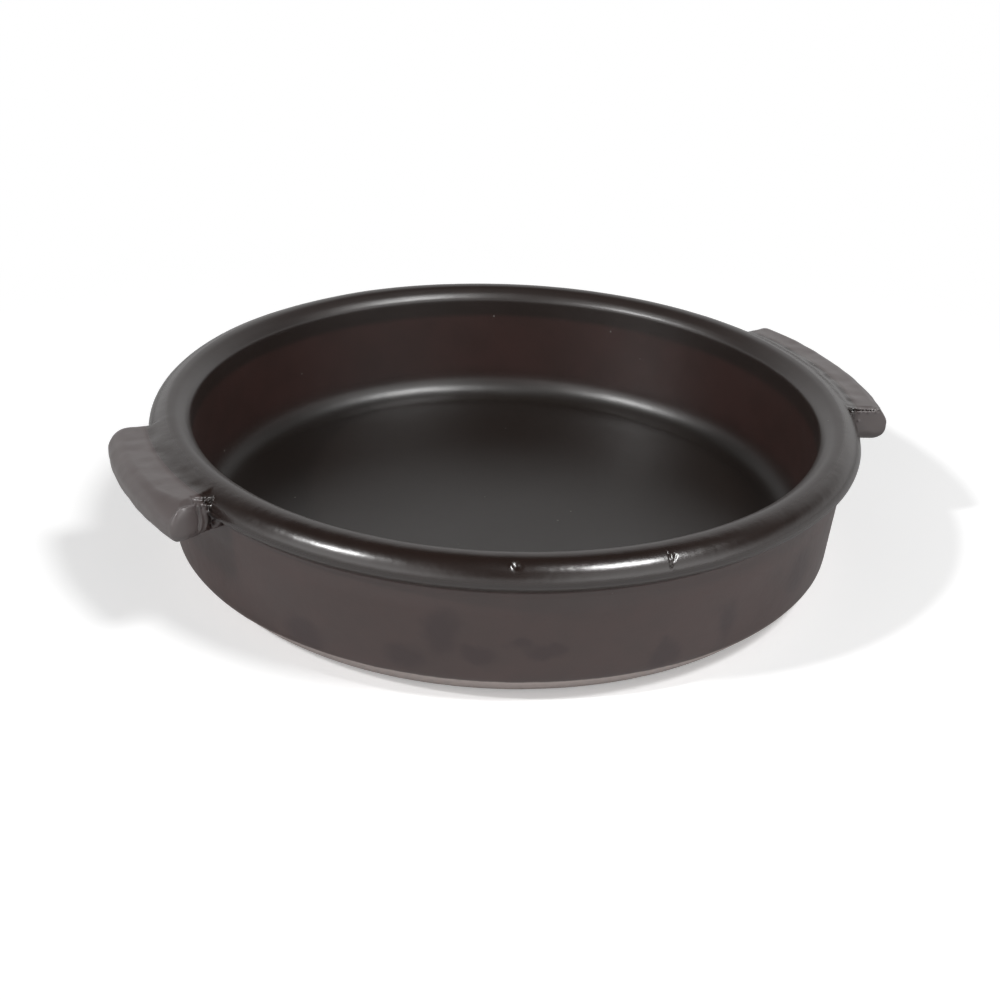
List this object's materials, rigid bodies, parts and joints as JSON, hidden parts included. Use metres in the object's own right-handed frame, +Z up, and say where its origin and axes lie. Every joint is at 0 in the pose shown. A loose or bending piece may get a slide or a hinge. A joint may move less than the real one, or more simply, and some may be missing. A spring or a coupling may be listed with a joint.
{
  "type": "ceramic cooking pot",
  "caption": "Shallow round cooking pot of dark glazed ceramic, with a rolled rim, a rounded inner corner, a bevelled foot and a solid lug handle on either side.",
  "frame": {"origin": "middle of the flat underside, on the pot's axis and on the surface that it stands on", "axes": "+Z up along the pot's axis, +X from the left lug towards the right lug, +Y away from the side that both lugs lean towards"},
  "size_m": [0.2985, 0.27, 0.0573],
  "materials": {
    "base_saucer": "satin glaze, bare matt clay on the bevel and the underside",
    "wall_band": "satin dark brown glaze",
    "rim_coil": "satin dark brown glaze",
    "handle_left": "satin dark brown glaze",
    "handle_right": "satin dark brown glaze"
  },
  "bodies": {
    "root": {"base_saucer": "base_saucer", "wall_band": "wall_band", "rim_coil": "rim_coil", "handle_left": "handle_left", "handle_right": "handle_right"}
  },
  "joints": []
}
